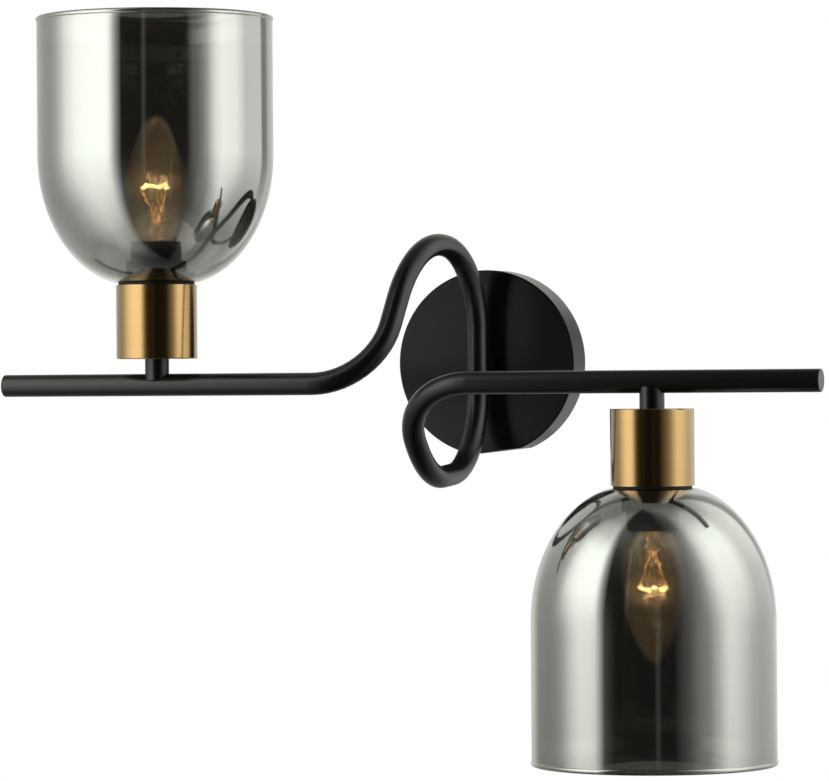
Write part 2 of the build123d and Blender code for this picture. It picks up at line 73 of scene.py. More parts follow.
# Brightness of the light tent by degrees round it from straight in front of the wall: above the lamps'
# middle and below it. The front is a black card; the softboxes stand on both sides of it.
TENT_HIGH = (
    (-180, 0.78), (-123, 0.63), (-97.9, 0.62), (-89.8, 0.68), (-82.6, 0.9), (-76.4, 1.3),
    (-71.1, 1.87), (-59.6, 2.6), (-50.7, 2.8), (-38.1, 2.85), (-31.8, 2.9),
    (-28.1, 2.5), (-24.5, 1.2), (-21.2, 0.5), (-17, 0.01), (0.1, 0.01), (3, 0.12), (5.9, 0.01),
    (45.1, 0.01), (51.4, 0.2), (56.6, 0.27), (62.9, 0.48), (68.2, 0.8), (73.4, 1.42), (79.8, 2.06),
    (87.3, 2.4), (106.5, 2.25), (122.6, 1.4), (152, 1.3), (156, 0.4), (166, 0.4), (173, 0.78),
)
TENT_LOW = (
    (-180, 0.4), (-137.3, 0.9), (-116.9, 0.49), (-92.1, 0.52), (-82.5, 0.59), (-73.9, 0.74),
    (-66.5, 1.03), (-59.1, 1.46), (-51.7, 1.86), (-44.4, 2.12), (-34.1, 2.08), (-28, 1.86), (-22.9, 1),
    (-17.9, 0.14), (-12.9, 0.06), (-7, 0.01), (26.2, 0.01), (29, 0.1), (31.7, 0.01), (41.7, 0.01),
    (45.3, 0.06), (53.3, 0.17), (60.3, 0.37), (69.1, 0.56), (77.1, 1.15), (81.5, 1.55), (85.9, 1.86),
    (92.2, 1.84), (100.3, 1.55), (112.1, 1.1), (123.4, 0.9), (147.6, 0.85),
)
# By degrees up from level: the change from low to high, and the softboxes' share.
TENT_BLEND = ((-90, 0.0), (-12, 0.0), (11, 1.0), (90, 1.0))
TENT_RISE = (
    (-90, 0.0), (-70, 0.06), (-54, 0.2), (-40, 0.36), (-20, 0.8), (-11, 1.0), (25, 1.0), (38, 0.85),
    (51, 0.43), (68, 0.15), (90, 0.05),
)
# The room's own dim light, by degrees up from level and round the tent, where the black card darkens it.
TENT_ROOM = (
    (-90, 0.02), (-72, 0.08), (-52, 0.3), (-40, 0.36), (-24, 0.2), (-15, 0.04), (-9, 0.0), (10, 0.0),
    (16, 0.05), (25, 0.13), (38, 0.2), (52, 0.22), (90, 0.18),
)
TENT_CARD = ((-180, 1.0), (-50, 1.0), (-18, 0.15), (45, 0.15), (75, 1.0), (180, 1.0))


# ---- Where each lamp is, read from the frame ----
def lamp_axis(where):
    """Middle of a lamp's shade, a point on the lamp's axis."""
    low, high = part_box("glass_shade_" + where)
    return (low + high) / 2


def cup_face(where):
    """Height of the cup's open face, which every lamp level is measured from."""
    low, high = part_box("lamp_cup_" + where)
    return high.z if SIDES[where] > 0 else low.z


def lamp_matrix(where):
    """Turns a piece drawn upright on the cup's face into its place on the light."""
    centre = lamp_axis(where)
    place = Matrix.Translation((centre.x, centre.y, cup_face(where)))
    turn = Matrix.Rotation(0 if SIDES[where] > 0 else math.pi, 4, "Y")
    return place @ turn


def levels(node, where):
    """Start and end of a node along its lamp, measured outwards from the cup's face."""
    low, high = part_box(f"{node}_{where}")
    ends = [SIDES[where] * (z - cup_face(where)) for z in (low.z, high.z)]
    return min(ends), max(ends)


def radius_of(node, where):
    """Radius of a round node."""
    low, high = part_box(f"{node}_{where}")
    return min(high.x - low.x, high.y - low.y) / 2


# ---- Settings ----
class GlassSettings(PropertyGroup):
    wall: FloatProperty(
        name="Wall", description="Thickness of the shade's glass", default=2 * MM, unit="LENGTH"
    )
    neck_hole: FloatProperty(
        name="Neck hole", description="Radius of the hole the lampholder passes through", default=14.5 * MM,
        unit="LENGTH",
    )
    bell_start: FloatProperty(
        name="Bell start", description="Radius about which the bell's side is an ellipse", default=12 * MM,
        unit="LENGTH",
    )
    bell_height: FloatProperty(
        name="Bell height", description="Cup face to the top of the curved part", default=70 * MM,
        unit="LENGTH",
    )
    bead: FloatProperty(
        name="Lip bead", description="Radius of the fire-polished lip", default=1.5 * MM, unit="LENGTH"
    )
    tint: StringProperty(name="Tint", description="What the bell's glass lets through", default="#74716B")
    neck_tint: StringProperty(
        name="Neck tint", description="What the glass lets through by the neck, where the film is thin",
        default="#D3D2CE",
    )
    mirror: FloatProperty(
        name="Mirror", description="Refractive index of the half-mirror film", default=3.4, min=1, max=4
    )


class BulbSettings(PropertyGroup):
    lead_spread: FloatProperty(
        name="Lead spread", description="Half the distance between the leads' tips", default=7.5 * MM,
        unit="LENGTH",
    )
    coil_turns: IntProperty(name="Coil turns", description="Turns of the filament's coil", default=34)
    coil_radius: FloatProperty(
        name="Coil radius", description="Radius of the filament's coil", default=0.85 * MM, unit="LENGTH"
    )
    wire: FloatProperty(
        name="Wire", description="Radius of the filament's wire", default=0.26 * MM, unit="LENGTH"
    )
    glow: FloatProperty(name="Glow", description="Brightness of the lit filament", default=3000.0, min=0)
    colour: StringProperty(name="Glow colour", description="Colour of the lit filament", default="#FFD59A")


class ThreadSettings(PropertyGroup):
    holder_pitch: FloatProperty(
        name="Holder pitch", description="Pitch of the shade ring's thread", default=2.0 * MM, unit="LENGTH"
    )
    holder_depth: FloatProperty(
        name="Holder thread depth", description="Depth of that thread", default=0.8 * MM, unit="LENGTH"
    )
    cap_pitch: FloatProperty(
        name="Cap pitch", description="Pitch of the bulb cap", default=2.82 * MM, unit="LENGTH"
    )
    cap_depth: FloatProperty(
        name="Cap depth", description="Depth of the cap's thread", default=0.75 * MM, unit="LENGTH"
    )


class StudioSettings(PropertyGroup):
    camera_azimuth: FloatProperty(
        name="Azimuth", description="Where the camera stands round the light", default=math.radians(20.566),
        subtype="ANGLE",
    )
    camera_elevation: FloatProperty(
        name="Elevation", description="How far the camera stands above the aim", default=math.radians(0.132),
        subtype="ANGLE",
    )
    camera_roll: FloatProperty(
        name="Roll", description="How far the camera is tipped", default=math.radians(-0.415), subtype="ANGLE"
    )
    camera_distance: FloatProperty(
        name="Distance", description="Camera to aim point", default=2423.7 * MM, unit="LENGTH"
    )
    camera_aim: FloatVectorProperty(
        name="Aim", description="Point in the middle of the picture", default=(-12.54 * MM, -0.1, -15.0 * MM),
        subtype="XYZ", unit="LENGTH",
    )
    focal_pixels: FloatProperty(
        name="Focal length", description="Focal length in picture pixels", default=4485.4
    )
    tent_radius: FloatProperty(
        name="Tent radius", description="Light's middle to the cloth of the light tent", default=0.855,
        unit="LENGTH",
    )
    tent_power: FloatProperty(
        name="Tent power", description="Brightness of the tent's softboxes", default=3.2
    )
    surround: FloatProperty(name="Surround", description="Brightness outside the tent", default=0.8)
    floor_drop: FloatProperty(
        name="Floor drop", description="Floor below the wall plate's centre", default=1.05, unit="LENGTH"
    )


class WallLightSettings(PropertyGroup):
    glass: PointerProperty(type=GlassSettings)
    bulb: PointerProperty(type=BulbSettings)
    thread: PointerProperty(type=ThreadSettings)
    studio: PointerProperty(type=StudioSettings)


# ---- Materials ----
# A grain's value runs mostly between these, so the two colours stand there.
GRAIN_SPAN = (0.3, 0.7)
# Height over the cup's face up to which the shade's film is thin, and from which it is full.
FILM_THIN, FILM_FULL = 14 * MM, 46 * MM


def linear(hex_colour, alpha=1.0):
    """An sRGB hex colour as linear numbers with alpha."""
    values = [int(hex_colour[i:i + 2], 16) / 255 for i in (1, 3, 5)]
    return [v / 12.92 if v <= 0.04045 else ((v + 0.055) / 1.055) ** 2.4 for v in values] + [alpha]


def add_node(tree, kind, settings=None, inputs=None, links=None):
    """One shader node, with its settings, socket values and incoming links."""
    node = tree.nodes.new(kind)
    for key, value in (settings or {}).items():
        setattr(node, key, value)
    for key, value in (inputs or {}).items():
        node.inputs[key].default_value = value
    for key, source in (links or {}).items():
        tree.links.new(source, node.inputs[key])
    return node


def finish(name, colours, roughness, grain_mm, relief_mm=0.0, stretch=(1, 1, 1), detail=2.0, **sockets):
    """A material whose colour, roughness and relief wander with one grain, grain_mm across."""
    material = bpy.data.materials.new(name)
    material.use_nodes = True
    tree = material.node_tree
    shader = tree.nodes["Principled BSDF"]
    for key, value in sockets.items():
        shader.inputs[key.replace("_", " ")].default_value = value
    place = add_node(tree, "ShaderNodeTexCoord")
    scale = [1 / (grain_mm * MM * s) for s in stretch]
    mapped = add_node(
        tree, "ShaderNodeMapping", inputs={"Scale": scale}, links={"Vector": place.outputs["Object"]}
    )
    grain = add_node(
        tree, "ShaderNodeTexNoise", inputs={"Scale": 1.0, "Detail": detail},
        links={"Vector": mapped.outputs[0]},
    )
    ramp = add_node(tree, "ShaderNodeValToRGB", links={"Fac": grain.outputs["Fac"]})
    for step, position, colour in zip(ramp.color_ramp.elements, GRAIN_SPAN, colours):
        step.position = position
        step.color = linear(colour)
    tree.links.new(ramp.outputs[0], shader.inputs["Base Color"])
    smoothest, roughest = roughness
    shader.inputs["Roughness"].default_value = smoothest
    if roughest > smoothest:
        spread = add_node(
            tree, "ShaderNodeMapRange", inputs={"To Min": smoothest, "To Max": roughest},
            links={"Value": grain.outputs["Fac"]},
        )
        tree.links.new(spread.outputs[0], shader.inputs["Roughness"])
    if relief_mm:
        relief = add_node(
            tree, "ShaderNodeBump", inputs={"Distance": relief_mm * MM},
            links={"Height": grain.outputs["Fac"]},
        )
        tree.links.new(relief.outputs[0], shader.inputs["Normal"])
    return material


def powder_coat(name, roughness, ior):
    """Satin black polyester powder on steel: soft broad highlights with a faint orange peel."""
    # Powder flows out to ripples about a millimetre across and a few microns high.
    return finish(name, ("#0A0B0A", "#0E100E"), roughness, 1.1, relief_mm=0.003, IOR=ior)


def antique_brass():
    """Brass turned and brushed on a lathe, darkened and lacquered: bands of light across fine rings."""
    # Real brush lines are about 0.05 mm apart, too fine for the picture, so they are drawn at 0.2 mm.
    material = finish(
        "brushed_antique_brass", ("#9C7945", "#AA844E"), (0.15, 0.21), 0.2, relief_mm=0.0015,
        stretch=(900, 900, 1), Metallic=1.0, Anisotropic=0.5, Coat_Weight=1.0, Coat_IOR=1.5,
        Coat_Roughness=0.1,
    )
    tree = material.node_tree
    tangent = add_node(tree, "ShaderNodeTangent", settings={"direction_type": "RADIAL", "axis": "Z"})
    tree.links.new(tangent.outputs[0], tree.nodes["Principled BSDF"].inputs["Tangent"])
    return material


def bright_brass():
    """Plain drawn brass of the contacts: yellow and clean, with a soft shine."""
    return finish("drawn_brass", ("#C9A04E", "#D6AF60"), (0.22, 0.32), 0.8, Metallic=1.0)


def zinc_plate():
    """Bright zinc on pressed steel: a cool grey sheen, a little cloudy."""
    return finish("zinc_plated_steel", ("#9FA3A6", "#B9BCBE"), (0.28, 0.42), 4.0, detail=4.0, Metallic=1.0)


def moulded_black():
    """Phenolic moulding of the lampholder and its ring: dull black with a fine mould texture."""
    return finish(
        "moulded_black_phenolic", ("#20221F", "#2A2C29"), (0.42, 0.52), 0.5, relief_mm=0.01, IOR=1.5
    )


def moulded_white():
    """Glass-filled polyamide of the terminal block: off-white and matt."""
    return finish("moulded_white_polyamide", ("#E2E0D8", "#EDEBE4"), (0.5, 0.6), 0.7, IOR=1.5)


def cable_jacket():
    """Extruded silicone jacket of the inner leads: soft pale grey."""
    return finish("silicone_cable_jacket", ("#C9C6BC", "#D6D3CA"), (0.45, 0.55), 0.9, IOR=1.43)


def black_rubber():
    """Moulded silicone rubber seal: deep black, no shine."""
    return finish("moulded_black_rubber", ("#0E0F0E", "#141514"), (0.6, 0.7), 0.4, IOR=1.43)


def clear_silicone():
    """Stamped clear silicone washer under the ring: a pale milky edge."""
    return finish(
        "clear_silicone", ("#D3D4D0", "#DFE0DC"), (0.25, 0.4), 0.6, IOR=1.41, Transmission_Weight=0.7
    )


def smoke_mirror_glass(settings):
    """Blown smoke glass with a thin vacuum-coated half mirror: dark through, bright in reflection."""
    material = bpy.data.materials.new("half_mirrored_smoke_glass")
    material.use_nodes = True
    tree = material.node_tree
    shader = tree.nodes["Principled BSDF"]
    values = {
        "IOR": 1.5, "Transmission Weight": 1.0, "Roughness": 0.0, "Coat Weight": 1.0,
        "Coat IOR": settings.mirror, "Coat Roughness": 0.0,
    }
    for key, value in values.items():
        shader.inputs[key].default_value = value
    # The film thins out over the last few centimetres to the neck, so the lampholder shows through there.
    middle = (cup_face("upper") + cup_face("lower")) / 2
    neck = cup_face("upper") - middle
    place = add_node(tree, "ShaderNodeTexCoord")
    axes = add_node(tree, "ShaderNodeSeparateXYZ", links={"Vector": place.outputs["Object"]})
    above = add_node(
        tree, "ShaderNodeMath", settings={"operation": "SUBTRACT"}, inputs={1: middle},
        links={0: axes.outputs["Z"]},
    )
    away = add_node(tree, "ShaderNodeMath", settings={"operation": "ABSOLUTE"}, links={0: above.outputs[0]})
    share = add_node(
        tree, "ShaderNodeMapRange", settings={"interpolation_type": "SMOOTHSTEP"},
        inputs={"From Min": neck + FILM_THIN, "From Max": neck + FILM_FULL}, links={"Value": away.outputs[0]},
    )
    tint = add_node(
        tree, "ShaderNodeMix", settings={"data_type": "RGBA"},
        inputs={6: linear(settings.neck_tint), 7: linear(settings.tint)}, links={0: share.outputs[0]},
    )
    tree.links.new(tint.outputs[2], shader.inputs["Base Color"])
    return material


def bulb_glass_material():
    """Clear soda-lime bulb, uneven as blown: the lit filament glitters in it and hazes the glass round it."""
    # The glass is wavy over a few millimetres; a faint bloom on its inside scatters the filament's light.
    material = finish(
        "clear_bulb_glass", ("#FAF8F2", "#FCFBF7"), (0.0, 0.0), 3.0, relief_mm=0.5, detail=1.0, IOR=1.5,
        Transmission_Weight=0.998, Coat_Weight=1.0, Coat_IOR=2.0, Coat_Roughness=0.0,
    )
    tree = material.node_tree
    haze = add_node(
        tree, "ShaderNodeBsdfPrincipled",
        inputs={"Base Color": linear("#FFF6E6"), "Roughness": 0.5, "IOR": 1.5, "Transmission Weight": 1.0},
    )
    mixed = add_node(
        tree, "ShaderNodeMixShader", inputs={"Fac": 0.02},
        links={1: tree.nodes["Principled BSDF"].outputs[0], 2: haze.outputs[0]},
    )
    tree.links.new(mixed.outputs[0], tree.nodes["Material Output"].inputs["Surface"])
    return material


def stem_glass():
    """Lead glass, pinched round the wires: full of small lenses that catch the filament's light."""
    return finish(
        "pinched_lead_glass", ("#F6F2E6", "#FBF8F0"), (0.0, 0.05), 1.4, relief_mm=0.5, detail=1.0, IOR=1.55,
        Transmission_Weight=0.97,
    )


def nickel_plate():
    """Nickel-plated brass cap: bright, with soft stamping marks."""
    return finish("nickel_plated_brass", ("#B9B6AE", "#CBC8C0"), (0.18, 0.28), 1.5, Metallic=1.0)


def vitrite():
    """Poured black glass that insulates the cap's tip: black with a hard shine."""
    return finish("black_vitrite", ("#0B0B0C", "#151517"), (0.08, 0.18), 1.0, IOR=1.6)


def lead_wire():
    """Drawn nickel-iron wire with a painted warm glow that stands in for the filament's light falling on the
    leads.
    """
    return finish(
        "drawn_lead_wire_painted_glow", ("#A8A29A", "#BDB7AE"), (0.2, 0.35), 0.6, Metallic=1.0,
        # Painted glow: the leads give off warm light of their own, though only the filament is lit.
        Emission_Color=linear("#FFB866"), Emission_Strength=5.0,
    )


def hot_tungsten(settings):
    """Tungsten coil at white heat: it outshines everything near it."""
    return finish(
        "glowing_tungsten", ("#8A857D", "#A09A90"), (0.3, 0.5), 0.3, Metallic=1.0,
        Emission_Color=linear(settings.colour), Emission_Strength=settings.glow,
    )


def floor_paint():
    """Matt pale emulsion on the studio's floor."""
    return finish("pale_floor_paint", ("#EFEFEC", "#F4F4F1"), (0.75, 0.85), 40)


# ---- Meshes ----
# Mesh edges that bend by more than this many degrees stay crisp, on drawn pieces and on the CAD nodes.
CRISP_PIECE, CRISP_NODE = 40, 35


def make_piece(name, verts, faces, material, body, stands_for=()):
    """A smooth mesh piece, crisp at its sharp edges, riding on a body of the frame."""
    mesh = bpy.data.meshes.new(name)
    mesh.from_pydata(verts, [], faces)
    mesh.validate()
    mesh.update()
    mesh.shade_smooth()
    mesh.set_sharp_from_angle(angle=math.radians(CRISP_PIECE))
    mesh.materials.append(material)
    piece = bpy.data.objects.new(name, mesh)
    bpy.context.scene.collection.objects.link(piece)
    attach(piece, body)
    if stands_for:
        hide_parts(*stands_for)
    return piece


def rings(outline, count, matrix, closed=True):
    """Skin over rings of (radius, height), closed into a loop or capped; a ring of radius 0 is a point."""
    verts, loops = [], []
    for radius, height in outline:
        first = len(verts)
        if radius == 0:
            verts.append(matrix @ Vector((0, 0, height)))
            loops.append([first] * count)
            continue
        for step in range(count):
            angle = math.tau * step / count
            r = radius(angle) if callable(radius) else radius
            verts.append(matrix @ Vector((r * math.cos(angle), r * math.sin(angle), height)))
        loops.append(list(range(first, first + count)))
    faces = []
    follow = loops[1:] + loops[:1] if closed else loops[1:]
    for near, far in zip(loops, follow):
        for step in range(count):
            side = (step + 1) % count
            corners = dict.fromkeys((near[step], near[side], far[side], far[step]))
            if len(corners) > 2:
                faces.append(tuple(corners))
    if not closed:
        faces += [tuple(reversed(loops[0])), tuple(loops[-1])]
    return verts, faces


def thread_rings(root, depth, pitch, start, end, rows_per_turn=10, fade=0.6):
    """Rings of a rounded screw thread that fades in and out at its ends."""
    outline = []
    rows = max(4, round((end - start) / pitch * rows_per_turn))
    for row in range(rows + 1):
        height = start + (end - start) * row / rows
        room = min(height - start, end - height) / (pitch * fade)
        share = max(0.0, min(1.0, room))
        outline.append((thread_radius(root, depth * share, pitch, height), height))
    return outline


def thread_radius(root, depth, pitch, height):
    """The thread's radius at one height, as a function of the angle round it."""
    def radius(angle):
        wave = 0.5 + 0.5 * math.cos(math.tau * height / pitch - angle)
        return root + depth * wave
    return radius


def wire_tube(points, radius, sides=8):
    """Verts and faces of a round wire through points, with flat ends."""
    verts, faces = [], []
    side_axis = None
    for index, point in enumerate(points):
        ahead = points[min(index + 1, len(points) - 1)]
        behind = points[max(index - 1, 0)]
        along = (ahead - behind).normalized()
        if side_axis is None:
            side_axis = along.orthogonal().normalized()
        side_axis = (side_axis - along * side_axis.dot(along)).normalized()
        other = along.cross(side_axis)
        for step in range(sides):
            angle = math.tau * step / sides
            verts.append(point + (side_axis * math.cos(angle) + other * math.sin(angle)) * radius)
    for near in range(0, (len(points) - 1) * sides, sides):
        far = near + sides
        for step in range(sides):
            side = (step + 1) % sides
            faces.append((near + step, near + side, far + side, far + step))
    faces.append(tuple(reversed(range(sides))))
    faces.append(tuple(range((len(points) - 1) * sides, len(points) * sides)))
    return verts, faces


def joined(parts):
    """Several (verts, faces) pairs as one."""
    verts, faces = [], []
    for some_verts, some_faces in parts:
        base = len(verts)
        verts += some_verts
        faces += [tuple(base + i for i in face) for face in some_faces]
    return verts, faces


def arc(centre_r, centre_h, radius_r, radius_h, start, end, steps):
    """Points (radius, height) along an ellipse from start to end, in degrees."""
    points = []
    for step in range(steps + 1):
        angle = math.radians(start + (end - start) * step / steps)
        points.append((centre_r + radius_r * math.cos(angle), centre_h + radius_h * math.sin(angle)))
    return points


def finish_nodes(names, material):
    """Gives CAD nodes their finish, with smooth shading between their sharp edges."""
    for name in names:
        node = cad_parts[name]
        node.data.materials.clear()
        node.data.materials.append(material)
        node.data.shade_smooth()
        node.data.set_sharp_from_angle(angle=math.radians(CRISP_NODE))


def both(*stems):
    """Names of the nodes that each lamp has one of."""
    return [f"{stem}_{where}" for stem in stems for where in SIDES]


# ---- Shade ----
# How far the lip stands out past the side, and the rows of mesh along each part of the outline.
LIP_SWELL = 0.5 * MM
BELL_ROWS, SIDE_ROWS, LIP_ROWS = 56, 8, 20
BELL_SEGMENTS = 192


def bell_skin(settings, where, inset, base):
    """One skin of the bell from its seat to under the lip, moved inwards by inset."""
    rim = levels("glass_shade", where)[1]
    side_r = radius_of("glass_shade", where) - LIP_SWELL
    height = settings.bell_height
    rise = height - inset
    start = -math.degrees(math.asin((height - base) / rise))
    curve = arc(settings.bell_start, height, side_r - settings.bell_start - inset, rise, start, 0, BELL_ROWS)
    straight = rim - 2 * settings.bead - height
    return curve + [(side_r - inset, height + straight * row / SIDE_ROWS) for row in range(1, SIDE_ROWS + 1)]


def bell_outline(settings, where):
    """Closed outline of the glass wall, out from the hole, up the side, round the lip and back."""
    seat, rim = levels("glass_shade", where)
    bead, wall, hole = settings.bead, settings.wall, settings.neck_hole
    outside = bell_skin(settings, where, 0.0, seat)
    inside = bell_skin(settings, where, wall, seat + wall)
    lip = arc(radius_of("glass_shade", where) - bead, rim - bead, bead, bead, -50, 230, LIP_ROWS)
    return [(hole, seat)] + outside + lip + inside[::-1] + [(hole, seat + wall)]


class WALLLIGHT_OT_shades(Operator):
    """Blown bell shades of half-mirrored smoke glass"""

    bl_idname = "wall_light.shades"
    bl_label = "Glass shades"

    def execute(self, context):
        settings = context.scene.wall_light.glass
        glass = smoke_mirror_glass(settings)
        for where in SIDES:
            verts, faces = rings(bell_outline(settings, where), BELL_SEGMENTS, lamp_matrix(where))
            make_piece(
                "blown_shade_" + where, verts, faces, glass, "fixture",
                ["glass_shade_" + where],
            )
        return {"FINISHED"}


# ---- Lampholder and ring ----
# The lampholder: radius over its thread and in its mouth, the plain rim, the thread's ends and the edges.
HOLDER_THREAD_R = 14 * MM
HOLDER_MOUTH_R = 11 * MM
HOLDER_RIM = 2.2 * MM
THREAD_RELIEF = 0.2 * MM
THREAD_RUNOUT = 0.22 * MM
MOULD_EDGE = 0.4 * MM
HOLDER_SEGMENTS = 128


def holder_outline(settings, where):
    """Closed outline of the lampholder: base, shoulder, threaded skirt, mouth and bore."""
    base, top = levels("holder_body", where)
    shell_top = levels("holder_shell", where)[1]
    shoulder = levels("seat_disc", where)[0]
    base_r = radius_of("holder_body", where)
    shell_r = radius_of("holder_shell", where)
    mouth_r = HOLDER_MOUTH_R
    root = HOLDER_THREAD_R - settings.holder_depth
    outline = [(shell_r, base), (base_r, base), (base_r, shoulder), (root, shoulder)]
    outline += thread_rings(
        root, settings.holder_depth, settings.holder_pitch, shoulder + THREAD_RELIEF, top - HOLDER_RIM
    )
    outline += [(root, top - HOLDER_RIM + THREAD_RUNOUT), (root, top - MOULD_EDGE), (root - MOULD_EDGE, top)]
    outline += [(mouth_r + MOULD_EDGE, top), (mouth_r, top - MOULD_EDGE)]
    outline += [(mouth_r, shell_top), (shell_r, shell_top)]
    return outline


class WALLLIGHT_OT_holders(Operator):
    """Threaded lampholders with their contacts, seals and rings"""

    bl_idname = "wall_light.holders"
    bl_label = "Lampholders"

    def execute(self, context):
        settings = context.scene.wall_light.thread
        black = moulded_black()
        for where in SIDES:
            verts, faces = rings(holder_outline(settings, where), HOLDER_SEGMENTS, lamp_matrix(where))
            make_piece(
                "threaded_holder_" + where, verts, faces, black, "fixture",
                ["holder_body_" + where],
            )
        finish_nodes(both("shade_ring"), black)
        finish_nodes(both("holder_shell", "holder_tongue"), bright_brass())
        finish_nodes(both("shade_gasket"), black_rubber())
        finish_nodes(both("shade_washer"), clear_silicone())
        return {"FINISHED"}


# ---- Metalwork ----
class WALLLIGHT_OT_metalwork(Operator):
    """Black tube, stems and plate, and the brass cups"""

    bl_idname = "wall_light.metalwork"
    bl_label = "Metalwork"

    def execute(self, context):
        black = powder_coat("satin_black_powder_coat", (0.26, 0.31), 1.46)
        finish_nodes(["arm_tube", "plate_stem"], black)
        # Powder runs out smoother and thinner on the plate's flat face than round a tube, so it shines less.
        finish_nodes(["wall_plate"], powder_coat("smooth_black_powder_coat", (0.19, 0.23), 1.34))
        finish_nodes(both("end_plug", "lamp_stem", "seat_disc"), black)
        finish_nodes(both("lamp_cup"), antique_brass())
        return {"FINISHED"}


class WALLLIGHT_OT_fixings(Operator):
    """Bracket, nuts, screws, terminal block and inner leads"""

    bl_idname = "wall_light.fixings"
    bl_label = "Fixings and wiring"

    def execute(self, context):
        zinc = zinc_plate()
        finish_nodes(["mounting_bracket", "rim_lock_screws", "terminal_screws"], zinc)
        finish_nodes(["stem_washer", "stem_nut"] + both("lamp_washer", "lamp_nut"), zinc)
        finish_nodes(["earth_screw"], bright_brass())
        finish_nodes(["terminal_block"], moulded_white())
        finish_nodes(both("cable"), cable_jacket())
        return {"FINISHED"}


# ---- Bulb ----
BULB_WALL = 0.6 * MM
# The bulb's curves: neck inside the collar, widest place under the tip, and how far each curve holds on.
NECK_STEP = 1.55 * MM
BELLY_UNDER_TIP = 46.5 * MM
NECK_HOLD = (2.5 * MM, 3 * MM)
BELLY_HOLD = (13.5 * MM, 18 * MM)
TIP_HOLD = 8.5 * MM
SHOULDER_ROWS, FLANK_ROWS = 28, 40
BULB_SEGMENTS = 96


def bulb_profile(where):
    """Outer outline of the bulb from its neck to its rounded tip, as (radius, height)."""
    base, tip = levels("bulb_glass", where)
    belly_r = radius_of("bulb_glass", where)
    belly = tip - BELLY_UNDER_TIP
    collar = levels("bulb_cap", where)[1]
    neck_r = radius_of("bulb_cap", where) - NECK_STEP
    after_neck = (neck_r + NECK_HOLD[0], collar + NECK_HOLD[1])
    below, above = (belly_r, belly - BELLY_HOLD[0]), (belly_r, belly + BELLY_HOLD[1])
    shoulder = bezier_points((neck_r, collar), after_neck, below, (belly_r, belly), SHOULDER_ROWS)
    flank = bezier_points((belly_r, belly), above, (TIP_HOLD, tip), (0, tip), FLANK_ROWS)
    return [(neck_r, base)] + shoulder + flank[1:-1]


def bezier_points(start, first, second, end, steps):
    """Points (radius, height) along a curve that leaves and arrives by its two middle points."""
    points = []
    for step in range(steps + 1):
        t = step / steps
        weights = ((1 - t) ** 3, 3 * t * (1 - t) ** 2, 3 * t * t * (1 - t), t ** 3)
        corners = list(zip(weights, (start, first, second, end)))
        points.append(tuple(sum(weight * corner[axis] for weight, corner in corners) for axis in (0, 1)))
    return points


# The inset outline stays this far from the axis, so no face folds over it.
AXIS_GAP = 0.05 * MM


def inset_profile(profile, wall):
    """The outline moved inwards by the wall, square to itself."""
    inner = []
    for index, (r, h) in enumerate(profile):
        ahead = profile[min(index + 1, len(profile) - 1)]
        behind = profile[max(index - 1, 0)]
        dr, dh = ahead[0] - behind[0], ahead[1] - behind[1]
        length = math.hypot(dr, dh)
        inner.append((max(AXIS_GAP, r - wall * dh / length), h + wall * dr / length))
    return inner


def bulb_envelope(where, material):
    """The bulb's blown glass, a shell closed over its tip."""
    tip = levels("bulb_glass", where)[1]
    outer = bulb_profile(where)
    inner = inset_profile(outer, BULB_WALL)
    outline = outer + [(0, tip), (0, tip - BULB_WALL)] + inner[::-1]
    verts, faces = rings(outline, BULB_SEGMENTS, lamp_matrix(where))
    return make_piece(
        "candle_bulb_" + where, verts, faces, material, "bulb_" + where,
        ["bulb_glass_" + where],
    )


# The cap: radius over the thread, height of its collar, the sheet's edges and the glass it is rolled onto.
CAP_CREST = 6.95 * MM
COLLAR_HEIGHT = 2.5 * MM
CAP_THREAD_ENDS = (0.6 * MM, 1.5 * MM)
CAP_EDGE = 0.5 * MM
CAP_TAPER = 0.8
COLLAR_EDGE = (0.4 * MM, 0.3 * MM)
COLLAR_BORE = (6.5 * MM, 6.4 * MM)
CAP_ROWS_PER_TURN = 14


def screw_cap(settings, where, material):
    """Rolled screw cap with its round thread and the collar round the glass."""
    base, top = levels("bulb_cap", where)
    root = CAP_CREST - settings.cap_depth
    collar_r = radius_of("bulb_cap", where)
    collar = top - COLLAR_HEIGHT
    first, last = CAP_THREAD_ENDS
    lower_edge, upper_edge = COLLAR_EDGE
    outline = [(root * CAP_TAPER, base), (root, base + CAP_EDGE)]
    outline += thread_rings(
        root, settings.cap_depth, settings.cap_pitch, base + first, collar - last, CAP_ROWS_PER_TURN
    )
    outline += [(root, collar - first), (collar_r - lower_edge, collar), (collar_r, collar + CAP_EDGE)]
    outline += [(collar_r, top - upper_edge), (collar_r - upper_edge, top)]
    outline += [(COLLAR_BORE[0], top), (COLLAR_BORE[1], collar)]
    verts, faces = rings(outline, BULB_SEGMENTS, lamp_matrix(where), closed=False)
    return make_piece(
        "rolled_cap_" + where, verts, faces, material, "bulb_" + where, ["bulb_cap_" + where]
    )


# The glass stem from its flare to its pinched head, as shares of its radius and of its height.
STEM_SHAPE = (
    (2.0, 0.02), (1.5, 0.12), (1.05, 0.35), (1.0, 0.62), (0.8, 0.70), (0.72, 0.86), (1.0, 0.93), (0.8, 1.0),
)
STEM_NIB = (0.2, 0.2 * MM)
STEM_SEGMENTS = 40


def glass_mount(where, material):
    """Flared glass stem, pinched at its head where the leads are sealed in."""
    base, top = levels("bulb_mount", where)
    radius = radius_of("bulb_mount", where)
    outline = [(radius * wide, base + high * (top - base)) for wide, high in STEM_SHAPE]
    outline.append((radius * STEM_NIB[0], top + STEM_NIB[1]))
    verts, faces = rings(outline, STEM_SEGMENTS, lamp_matrix(where), closed=False)
    return make_piece(
        "glass_stem_" + where, verts, faces, material, "bulb_" + where, ["bulb_mount_" + where]
    )


